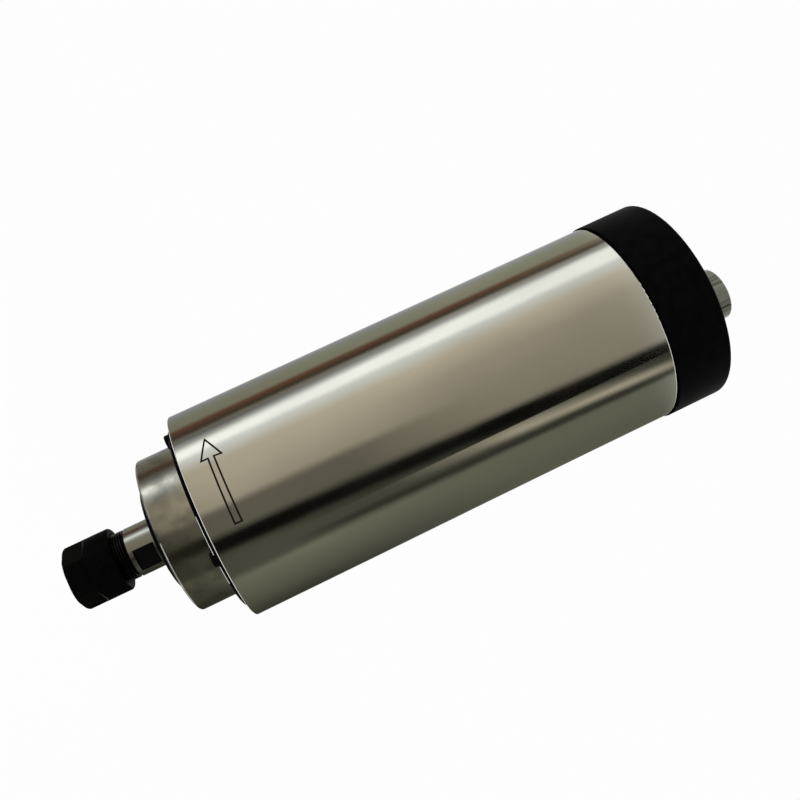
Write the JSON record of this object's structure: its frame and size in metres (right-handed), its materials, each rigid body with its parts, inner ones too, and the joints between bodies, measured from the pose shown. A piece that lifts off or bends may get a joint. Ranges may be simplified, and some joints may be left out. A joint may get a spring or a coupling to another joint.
{
  "type": "motor spindle",
  "caption": "Round air-cooled router spindle with a steel sleeve, stepped nose, collet nut on a bright shaft, and a vented black cap with a power socket.",
  "frame": {"origin": "on the spindle axis, where the full diameter of the outer sleeve starts at its front", "axes": "+Z along the spindle axis towards the rear cap, tool end at -Z; +X towards the power socket and one of the front screws"},
  "size_m": [0.081, 0.081, 0.2634],
  "materials": {
    "sleeve_steel": "polished stainless tube, fine turning lines",
    "nose_steel": "turned satin steel",
    "black_ring": "black oxide, bright machined edge",
    "black_screws": "black oxide",
    "plain_screws": "zinc plated",
    "black_disc": "black anodised, satin",
    "black_cap": "moulded black, slight sheen",
    "fan_plastic": "moulded black nylon",
    "turned_aluminium": "turned",
    "cast_aluminium": "cast and extruded",
    "spring_steel": "spring temper",
    "lamination_steel": "stacked laminations",
    "copper_winding": "varnished copper wire",
    "socket_metal": "plated, satin",
    "gasket_rubber": "matte",
    "insert_plastic": "black thermoset",
    "pin_brass": "plated",
    "lead_red": "insulated wire",
    "lead_green": "insulated wire",
    "shaft_steel": "ground bright",
    "collet_steel": "ground and hardened",
    "nut_black": "black oxide, semi-gloss",
    "bearing_steel": "ground",
    "cage_plastic": "fibre resin"
  },
  "bodies": {
    "housing": {"outer_sleeve": "sleeve_steel", "front_clamp_ring": "black_ring", "front_ring_screws": "black_screws", "nose_housing": "nose_steel", "bearing_retainer": "turned_aluminium", "retainer_screws": "black_screws", "stator_housing": "cast_aluminium", "rear_bearing_housing": "turned_aluminium", "rear_housing_screws": "black_screws", "rear_cap": "black_cap", "rear_cap_screws": "black_screws", "preload_disc_spring": "spring_steel", "stator_core": "lamination_steel", "stator_winding": "copper_winding", "connector_shell": "socket_metal", "connector_gasket": "gasket_rubber", "connector_nut": "socket_metal", "connector_insert": "insert_plastic", "connector_pins": "pin_brass", "phase_lead_1": "lead_red", "phase_lead_2": "lead_red", "phase_lead_3": "lead_red", "earth_lead": "lead_green", "earth_terminal": "pin_brass", "earth_screw": "plain_screws", "front_bearing_1_outer_ring": "bearing_steel", "front_bearing_2_outer_ring": "bearing_steel", "rear_bearing_1_outer_ring": "bearing_steel", "rear_bearing_2_outer_ring": "bearing_steel"},
    "rotor": {"rotor_shaft": "shaft_steel", "dust_disc": "black_disc", "rotor_core": "lamination_steel", "rotor_end_ring_front": "cast_aluminium", "rotor_end_ring_rear": "cast_aluminium", "rear_lock_nut": "black_screws", "cooling_fan": "fan_plastic", "fan_washer": "plain_screws", "fan_screw": "black_screws", "front_bearing_1_inner_ring": "bearing_steel", "front_bearing_2_inner_ring": "bearing_steel", "rear_bearing_1_inner_ring": "bearing_steel", "rear_bearing_2_inner_ring": "bearing_steel"},
    "front_ball_sets": {"front_bearing_1_cage": "cage_plastic", "front_bearing_1_balls": "bearing_steel", "front_bearing_2_cage": "cage_plastic", "front_bearing_2_balls": "bearing_steel"},
    "rear_ball_sets": {"rear_bearing_1_cage": "cage_plastic", "rear_bearing_1_balls": "bearing_steel", "rear_bearing_2_cage": "cage_plastic", "rear_bearing_2_balls": "bearing_steel"},
    "collet": {"collet": "collet_steel"},
    "collet_nut": {"collet_nut": "nut_black"}
  },
  "joints": [
    {"name": "rotor_spin", "type": "hinge", "parent": "housing", "child": "rotor", "pos_m": [0, 0, 0], "axis": [0, 0, -1], "continuous": true},
    {"name": "front_balls_roll", "type": "hinge", "parent": "housing", "child": "front_ball_sets", "pos_m": [0, 0, 0], "axis": [0, 0, -1], "continuous": true},
    {"name": "rear_balls_roll", "type": "hinge", "parent": "housing", "child": "rear_ball_sets", "pos_m": [0, 0, 0], "axis": [0, 0, -1], "continuous": true},
    {"name": "collet_travel", "type": "slide", "parent": "rotor", "child": "collet", "axis": [0, 0, -1], "range_m": [0, 0.005]},
    {"name": "nut_turn", "type": "hinge", "parent": "collet", "child": "collet_nut", "pos_m": [0, 0, -0.0464], "axis": [0, 0, 1], "range_deg": [0, 1800]}
  ],
  "couplings": [
    {"joint": "front_balls_roll", "follows": "rotor_spin", "ratio": 0.4011},
    {"joint": "rear_balls_roll", "follows": "rotor_spin", "ratio": 0.4022},
    {"joint": "nut_turn", "follows": "collet_travel", "rad_per_m": 6283}
  ]
}
